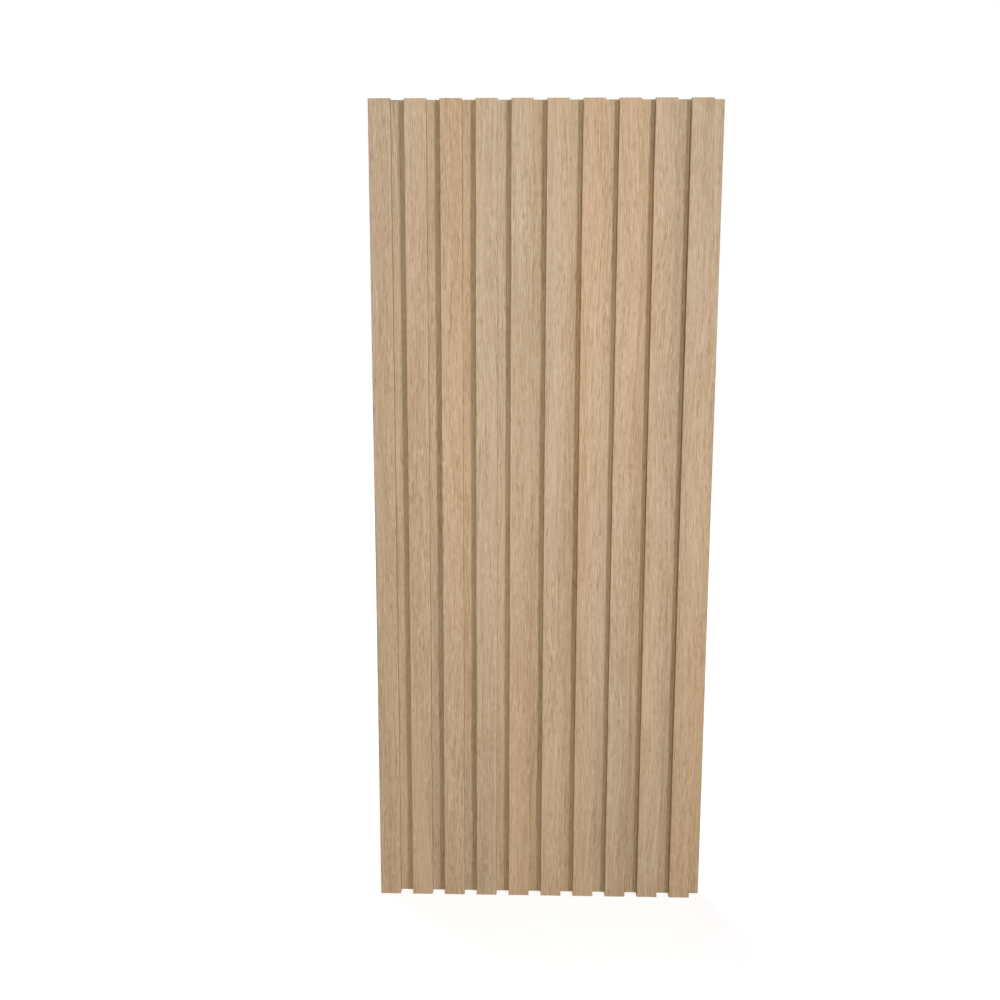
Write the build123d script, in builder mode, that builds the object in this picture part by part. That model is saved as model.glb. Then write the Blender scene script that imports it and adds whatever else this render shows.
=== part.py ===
"""Three-dimensional wall panel: one profiled board with upright slats across its front.

The frame's origin is the middle of the flat back, where the panel meets the wall.
The slats face -Y, +X runs across them to the right as a person in the room sees it, and +Z is up.
"""

import os

from build123d import *

# Driving dimensions, in millimetres
panel_height = 955
slat_count = 10
slat_width = 25
groove_width = 15
slat_relief = 11  # slat face to groove floor
web_thickness = 7  # groove floor to back
panel_joint = 2  # gap left beside the next panel on the wall
arris_radius = 0.8
root_radius = 0.5

# The groove at the right edge is narrower by the joint, so that the pitch carries on from panel to panel
slat_pitch = slat_width + groove_width
panel_width = slat_count * slat_pitch - panel_joint
slat_row_middle = (slat_count * slat_pitch - groove_width - panel_width) / 2

# The section of the board, seen from above, is drawn at the foot of the panel and run up its whole height
with BuildPart() as slatted_panel:
    with BuildSketch(Plane.XY.offset(-panel_height / 2)) as section:
        Rectangle(panel_width, web_thickness, align=(Align.CENTER, Align.MAX))
        with Locations((slat_row_middle, -web_thickness)):
            with GridLocations(slat_pitch, 0, slat_count, 1):
                Rectangle(slat_width, slat_relief, align=(Align.CENTER, Align.MAX))

        # Inside corners of the grooves: every corner at floor level but the free one at the right edge
        floor_corners = section.vertices().group_by(Axis.Y)[1].sort_by(Axis.X)
        fillet(floor_corners[:-1], radius=root_radius)

        # Outside corners: both arrises of each slat, and the free edge of the last groove's floor
        slat_corners = section.vertices().group_by(Axis.Y)[0]
        free_corner = section.vertices().group_by(Axis.X)[-1].sort_by(Axis.Y)[0]
        fillet([*slat_corners, free_corner], radius=arris_radius)
    extrude(amount=panel_height)
slatted_panel.part.label = "slatted_panel"

os.makedirs("parts", exist_ok=True)
export_step(slatted_panel.part, "parts/slatted_panel.step")
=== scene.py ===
"""A slatted three-dimensional wall panel in pale oak, standing upright in plain studio light."""

import math

import bpy
from mathutils import Matrix, Vector


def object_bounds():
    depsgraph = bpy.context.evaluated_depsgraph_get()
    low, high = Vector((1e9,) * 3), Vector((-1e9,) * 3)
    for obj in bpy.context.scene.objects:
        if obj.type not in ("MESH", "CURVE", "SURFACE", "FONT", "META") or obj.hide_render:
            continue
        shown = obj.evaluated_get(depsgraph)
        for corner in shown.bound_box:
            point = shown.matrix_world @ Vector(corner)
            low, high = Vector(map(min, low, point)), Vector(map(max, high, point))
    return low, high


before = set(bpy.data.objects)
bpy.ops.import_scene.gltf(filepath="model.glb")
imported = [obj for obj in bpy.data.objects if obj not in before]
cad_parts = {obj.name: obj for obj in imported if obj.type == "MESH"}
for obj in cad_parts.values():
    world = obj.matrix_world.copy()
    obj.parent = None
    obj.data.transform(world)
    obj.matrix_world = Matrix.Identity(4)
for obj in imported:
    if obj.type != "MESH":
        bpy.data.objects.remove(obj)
cad_low, cad_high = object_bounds()

# The board. The whole panel is one profiled piece of oak, milled with upright slats and grooves,
# sanded and sealed with a matt lacquer. Its grain runs up the slats, and it is glued to the wall
# by its flat back.
MM_PER_M = 1000


def linear(hex_colour):
    """An sRGB hex colour as the linear colour that a shader takes."""
    levels = [int(hex_colour[i : i + 2], 16) / 255 for i in (1, 3, 5)]
    return *(s / 12.92 if s <= 0.04045 else ((s + 0.055) / 1.055) ** 2.4 for s in levels), 1.0


def add_node(tree, kind, sockets, **settings):
    """Adds a node, sets its properties, and links or sets each of its sockets."""
    node = tree.nodes.new(kind)
    for name, value in settings.items():
        setattr(node, name, value)
    for socket, value in sockets.items():
        if isinstance(value, bpy.types.NodeSocket):
            tree.links.new(value, node.inputs[socket])
        else:
            node.inputs[socket].default_value = value
    return node


# Matt lacquered oak: a pale, dry-looking brown of fine upright fibres, with short dark pores that crowd
# into bands, pale flecks between them, and slow drifts between straw, pink and greyish wood.
oak = bpy.data.materials.new("matt_lacquered_oak")
oak.use_nodes = True
tree = oak.node_tree
tree.nodes.clear()
place = add_node(tree, "ShaderNodeTexCoord", {}).outputs["Object"]

# The grain sways: all the figure below follows fibres that lean a few degrees to either side.
# The size of a bend and the sideways reach are in millimetres.
SWAY_CELL = (60, 120, 240)
SWAY = 20
sway_cells = add_node(
    tree,
    "ShaderNodeMapping",
    {"Vector": place, "Scale": [MM_PER_M / size for size in SWAY_CELL]},
)
sway = add_node(
    tree,
    "ShaderNodeTexNoise",
    {"Vector": sway_cells.outputs["Vector"], "Scale": 1, "Detail": 0},
)
fibres = add_node(
    tree,
    "ShaderNodeVectorMath",
    {0: sway.outputs["Color"], 1: (SWAY / MM_PER_M, SWAY / MM_PER_M, 0), 2: place},
    operation="MULTIPLY_ADD",
).outputs["Vector"]

# The figure is clouds of noise drawn out along the fibres. Each layer has the width of its clouds, their
# depth into the board and their length, in millimetres, then its octaves.
# Real pores are about 0.3 mm wide, and are drawn nearly twice as wide so that they show from a step away.
FIGURE = {
    "drift": (36, 400, 900, 0),
    "blush": (9, 120, 150, 1),
    "shade": (30, 200, 600, 1),
    "band": (5, 15, 240, 1),
    "streak": (0.8, 2.4, 200, 1),
    "fibre": (0.55, 1.7, 58, 1),
    "pore": (0.55, 1.7, 13, 0),
    "fleck": (0.55, 1.7, 12, 0),
    "bustle": (12, 40, 150, 1),
}
# Each layer is moved on by LAYER_STEP clouds, so that no two layers draw the same ones.
LAYER_STEP = Vector((17.3, 5.9, 11.1))
figure = {}
for layer, (across, deep, along, octaves) in FIGURE.items():
    cells = add_node(
        tree,
        "ShaderNodeMapping",
        {
            "Vector": fibres,
            "Location": LAYER_STEP * len(figure),
            "Scale": (MM_PER_M / across, MM_PER_M / deep, MM_PER_M / along),
        },
    )
    noise = add_node(
        tree,
        "ShaderNodeTexNoise",
        {"Vector": cells.outputs["Vector"], "Scale": 1, "Detail": octaves},
    )
    figure[layer] = noise.outputs["Fac"]

# Noise swings about a half, and seldom leaves the range from SWING_LOW to SWING_HIGH.
HALF = 0.5
SWING_LOW = 0.25
SWING_HIGH = 0.75

# Quiet stretches of fibre lie beside busy ones.
QUIETEST = 0.4
BUSIEST = 1.6
bustle = add_node(
    tree,
    "ShaderNodeMapRange",
    {
        "Value": figure["bustle"],
        "From Min": SWING_LOW,
        "From Max": SWING_HIGH,
        "To Min": QUIETEST,
        "To Max": BUSIEST,
    },
)
fibre_swing = add_node(tree, "ShaderNodeMath", {0: figure["fibre"], 1: HALF}, operation="SUBTRACT")
figure["fibre"] = add_node(
    tree,
    "ShaderNodeMath",
    {0: fibre_swing.outputs[0], 1: bustle.outputs["Result"], 2: HALF},
    operation="MULTIPLY_ADD",
).outputs[0]

# Pores and flecks are the tops of their clouds, cut off as short dashes, and both crowd into the bands.
CROWDING = 0.3
DASH_FOOT = 0.77
DASH_TOP = 0.88
dashes = {}
for kind in ("pore", "fleck"):
    crowded = add_node(
        tree,
        "ShaderNodeMath",
        {0: figure["band"], 1: CROWDING, 2: figure[kind]},
        operation="MULTIPLY_ADD",
    )
    dash = add_node(
        tree,
        "ShaderNodeMapRange",
        {"Value": crowded.outputs[0], "From Min": DASH_FOOT, "From Max": DASH_TOP},
        interpolation_type="SMOOTHSTEP",
    )
    dashes[kind] = dash.outputs["Result"]

# How dark the wood is, from 0 to 1: the even layers swing about a half, pores add and flecks take away.
DARKENING = {"shade": 0.55, "band": 0.38, "streak": 0.65, "fibre": 1.1}
DASH_DARKENING = {"pore": 0.45, "fleck": -0.36}
darkness = HALF - sum(DARKENING.values()) * HALF
for layer, depth in DARKENING.items():
    darkness = add_node(
        tree, "ShaderNodeMath", {0: figure[layer], 1: depth, 2: darkness}, operation="MULTIPLY_ADD"
    ).outputs[0]
for kind, depth in DASH_DARKENING.items():
    darkness = add_node(
        tree, "ShaderNodeMath", {0: dashes[kind], 1: depth, 2: darkness}, operation="MULTIPLY_ADD"
    ).outputs[0]

# Dark wood is browner than pale wood. Over both lies a tint that drifts, and warms towards the foot as a
# painted warmth for the dimmer light there.
# A mix node's colour inputs share their names with its number inputs, so they are given by index.
WOOD_PALE = "#D3BCA0"
WOOD_BROWN = "#A38867"
TINTS = {"drift": ("#F8FBFF", "#FFFAF3"), "blush": ("#FCFDF9", "#FFFBFD")}
FOOT_PAINTED_WARMTH = 0.15
axes = add_node(tree, "ShaderNodeSeparateXYZ", {"Vector": place}).outputs
# Painted warmth: the drift tint leans warm towards the foot, where the light is dimmer.
figure["drift"] = add_node(
    tree, "ShaderNodeMath", {0: axes["Z"], 1: -FOOT_PAINTED_WARMTH, 2: figure["drift"]}, operation="MULTIPLY_ADD"
).outputs[0]
wood = add_node(
    tree,
    "ShaderNodeMix",
    {0: darkness, 6: linear(WOOD_PALE), 7: linear(WOOD_BROWN)},
    data_type="RGBA",
).outputs[2]
for layer, (cool, warm) in TINTS.items():
    swing = add_node(
        tree,
        "ShaderNodeMapRange",
        {"Value": figure[layer], "From Min": SWING_LOW, "From Max": SWING_HIGH},
    )
    tint = add_node(
        tree,
        "ShaderNodeMix",
        {0: swing.outputs["Result"], 6: linear(cool), 7: linear(warm)},
        data_type="RGBA",
    )
    wood = add_node(
        tree,
        "ShaderNodeMix",
        {0: 1, 6: wood, 7: tint.outputs[2]},
        data_type="RGBA",
        blend_type="MULTIPLY",
    ).outputs[2]

# Painted shade: the floors of the grooves are tinted a little greyer, for the duller light that reaches
# them in the recess.
# A floor is what lies GROOVE_DEPTH millimetres behind the face of the slats.
GROOVE_PAINTED_SHADE = "#FCFFFF"
GROOVE_DEPTH = 11
GROOVE_SKIN = 1
groove_shade_mask = add_node(
    tree,
    "ShaderNodeMapRange",
    {
        "Value": axes["Y"],
        "From Min": cad_low[1] + (GROOVE_DEPTH - GROOVE_SKIN) / MM_PER_M,
        "From Max": cad_low[1] + GROOVE_DEPTH / MM_PER_M,
    },
)
# The painted shade is multiplied into the wood on the groove floors.
wood = add_node(
    tree,
    "ShaderNodeMix",
    {0: groove_shade_mask.outputs["Result"], 6: wood, 7: linear(GROOVE_PAINTED_SHADE)},
    data_type="RGBA",
    blend_type="MULTIPLY",
).outputs[2]

# The two sawn ends are end grain, which drinks more lacquer and so looks browner.
END_TINT = "#E0D0BC"
END_SKIN = 0.2
from_middle = add_node(tree, "ShaderNodeMath", {0: axes["Z"]}, operation="ABSOLUTE")
end = add_node(
    tree,
    "ShaderNodeMapRange",
    {
        "Value": from_middle.outputs[0],
        "From Min": cad_high[2] - END_SKIN / MM_PER_M,
        "From Max": cad_high[2] - END_SKIN / MM_PER_M / 2,
    },
)
wood = add_node(
    tree,
    "ShaderNodeMix",
    {0: end.outputs["Result"], 6: wood, 7: linear(END_TINT)},
    data_type="RGBA",
    blend_type="MULTIPLY",
).outputs[2]

# The lacquer is thin: pores stay as shallow dents, and shine less than the wood between them.
PORE_DENT = 0.08
DENT_STRENGTH = 0.6
WOOD_ROUGHNESS = 0.6
PORE_ROUGHNESS = 0.8
LACQUER_IOR = 1.45
LACQUER_SHINE = 0.3
dents = add_node(
    tree,
    "ShaderNodeBump",
    {"Height": dashes["pore"], "Distance": PORE_DENT / MM_PER_M, "Strength": DENT_STRENGTH},
    invert=True,
)
dryness = add_node(
    tree,
    "ShaderNodeMapRange",
    {"Value": dashes["pore"], "To Min": WOOD_ROUGHNESS, "To Max": PORE_ROUGHNESS},
)
lacquer = add_node(
    tree,
    "ShaderNodeBsdfPrincipled",
    {
        "Base Color": wood,
        "Roughness": dryness.outputs["Result"],
        "IOR": LACQUER_IOR,
        "Specular IOR Level": LACQUER_SHINE,
        "Normal": dents.outputs["Normal"],
    },
)
add_node(tree, "ShaderNodeOutputMaterial", {"Surface": lacquer.outputs["BSDF"]})

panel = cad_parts["slatted_panel"]
panel.data.materials.clear()
panel.data.materials.append(oak)

# The floor. A wide, seamless sheet of pale paper under the foot of the panel, which shows white to the
# camera and keeps the panel's soft shadow. Its own glow is lower near the panel, so that the shadow shows.
# Sizes are in metres.
FLOOR_SIZE = 12
FLOOR_GREY = "#A8A8A8"
GLOW_NEAR = 0.78
GLOW_FAR = 1.0
GLOW_REACH = 1.6


def seen_directly(tree):
    """A socket that is 1 for what the camera sees, straight or in a shine, and 0 for light on the panel."""
    rays = add_node(tree, "ShaderNodeLightPath", {})
    seen = rays.outputs["Is Camera Ray"]
    for kind in ("Is Glossy Ray", "Is Transmission Ray"):
        either = add_node(tree, "ShaderNodeMath", {0: seen, 1: rays.outputs[kind]}, operation="MAXIMUM")
        seen = either.outputs[0]
    return seen


bpy.ops.object.select_all(action="DESELECT")
bpy.ops.mesh.primitive_plane_add(size=FLOOR_SIZE, location=(0, 0, cad_low[2]))
floor = bpy.context.object
floor.name = "floor"
sheet = bpy.data.materials.new("pale_paper_sheet")
sheet.use_nodes = True
tree = sheet.node_tree
tree.nodes.clear()
floor_place = add_node(tree, "ShaderNodeTexCoord", {}).outputs["Object"]
distance = add_node(tree, "ShaderNodeVectorMath", {0: floor_place}, operation="LENGTH")
glow_level = add_node(
    tree,
    "ShaderNodeMapRange",
    {"Value": distance.outputs["Value"], "From Max": GLOW_REACH, "To Min": GLOW_NEAR, "To Max": GLOW_FAR},
    interpolation_type="SMOOTHSTEP",
)
glow_seen = add_node(
    tree, "ShaderNodeMath", {0: glow_level.outputs["Result"], 1: seen_directly(tree)}, operation="MULTIPLY"
)
glow = add_node(tree, "ShaderNodeEmission", {"Strength": glow_seen.outputs[0]})
paper = add_node(tree, "ShaderNodeBsdfDiffuse", {"Color": linear(FLOOR_GREY)})
both = add_node(tree, "ShaderNodeAddShader", {0: paper.outputs["BSDF"], 1: glow.outputs["Emission"]})
add_node(tree, "ShaderNodeOutputMaterial", {"Surface": both.outputs["Shader"]})
floor.data.materials.append(sheet)

# The light. A tall, narrow lamp at the right draws the shadows in the grooves. A wide one further to the
# right lights the slats' sides, one behind the camera and a pale room fill the shadows, and one behind
# the panel lights its back and its top. Places and sizes are in metres.
ROOM_LEVEL = 0.08
WHITE = "#FFFFFF"
world = bpy.data.worlds.new("pale_room")
bpy.context.scene.world = world
world.use_nodes = True
tree = world.node_tree
tree.nodes.clear()
room_level = add_node(
    tree, "ShaderNodeMapRange", {"Value": seen_directly(tree), "To Min": ROOM_LEVEL, "To Max": 1}
)
room = add_node(
    tree, "ShaderNodeBackground", {"Color": linear(WHITE), "Strength": room_level.outputs["Result"]}
)
add_node(tree, "ShaderNodeOutputWorld", {"Surface": room.outputs["Background"]})

LAMPS = {
    "key_lamp": {
        "at": (0.575, -1.125, 0.36),
        "aim": (-2.4, -0.4, 0.36),
        "size": (0.24, 1.5),
        "watts": 16.6,
        "colour": "#F1F1FF",
    },
    "side_lamp": {
        "at": (2.6, -1.5, 0.4),
        "aim": (0, 0, 0),
        "size": (1, 1.6),
        "watts": 16,
        "colour": WHITE,
    },
    "front_lamp": {
        "at": (0, -2.4, 0.5),
        "aim": (0, 0, 0),
        "size": (0.5, 0.8),
        "watts": 24.5,
        "colour": "#FFF9E8",
    },
    "back_lamp": {
        "at": (-1.2, 1.9, 1.6),
        "aim": (0, 0, 0),
        "size": (1.6, 1.6),
        "watts": 45,
        "colour": WHITE,
    },
}
for name, lamp in LAMPS.items():
    light = bpy.data.lights.new(name, "AREA")
    light.shape = "RECTANGLE"
    light.size, light.size_y = lamp["size"]
    light.energy = lamp["watts"]
    light.color = linear(lamp["colour"])[:3]
    lamp_object = bpy.data.objects.new(name, light)
    lamp_object.location = lamp["at"]
    beam = Vector(lamp["aim"]) - Vector(lamp["at"])
    lamp_object.rotation_euler = beam.to_track_quat("-Z", "Y").to_euler()
    lamp_object.visible_camera = False
    bpy.context.scene.collection.objects.link(lamp_object)

# The camera. It stands a little left of and above the panel's middle, and looks slightly down and to
# the left. Angles are in degrees, and the focal length is a share of the picture's width.
CAMERA_AT = (-0.0184, -1.3177, 0.2483)
LOOK_DOWN = 9.753
TURN_LEFT = 1.422
ROLL = 0.112
FOCAL_SHARE = 1.12
camera_data = bpy.data.cameras.new("camera")
camera_data.lens = FOCAL_SHARE * camera_data.sensor_width
camera = bpy.data.objects.new("camera", camera_data)
camera.matrix_world = (
    Matrix.Translation(CAMERA_AT)
    @ Matrix.Rotation(math.radians(TURN_LEFT), 4, "Z")
    @ Matrix.Rotation(math.radians(90 - LOOK_DOWN), 4, "X")
    @ Matrix.Rotation(math.radians(ROLL), 4, "Z")
)
bpy.context.scene.collection.objects.link(camera)
bpy.context.scene.camera = camera
bpy.context.scene.view_settings.view_transform = "Standard"
